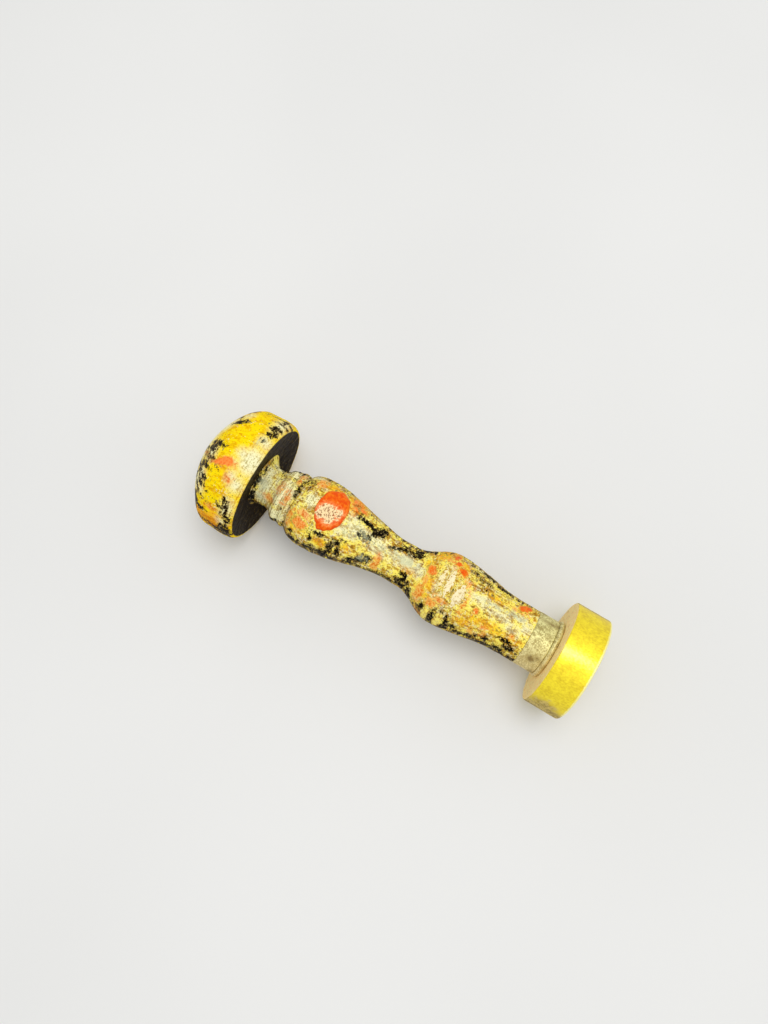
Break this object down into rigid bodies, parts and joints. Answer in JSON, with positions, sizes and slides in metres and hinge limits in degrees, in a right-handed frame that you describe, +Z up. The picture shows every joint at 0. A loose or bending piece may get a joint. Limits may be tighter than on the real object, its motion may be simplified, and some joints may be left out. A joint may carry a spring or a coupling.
{
  "type": "wax seal stamp",
  "caption": "Hand stamp for sealing wax: turned wooden handle with a mushroom knob, brass ferrule and a thick brass disc with an engraved die face.",
  "frame": {"origin": "on the table the seal lies on, under the middle of its bounding box", "axes": "+Z up; +X along the seal's length towards the brass disc, whose die face points to +X; the knob is at -X and the turning axis climbs 1.9 degrees towards it"},
  "size_m": [0.1018, 0.0312, 0.0311],
  "materials": {
    "brass_matrix": "satin, rubbed bright on the side, dull tan on the back",
    "brass_dull": "tarnished grey olive",
    "steel_screw": "plain",
    "wood_handle": "yellow wood under worn black lacquer, with wax stains",
    "wood_knob": "yellow wood under worn black lacquer, glossy black underneath",
    "sealing_wax": "glossy drops and smears of red wax stuck to handle and knob"
  },
  "bodies": {
    "root": {"seal_matrix": "brass_matrix", "foot_ring": "brass_dull", "ferrule": "brass_dull", "tang_screw": "steel_screw", "handle": "wood_handle", "knob": "wood_knob"}
  },
  "joints": []
}
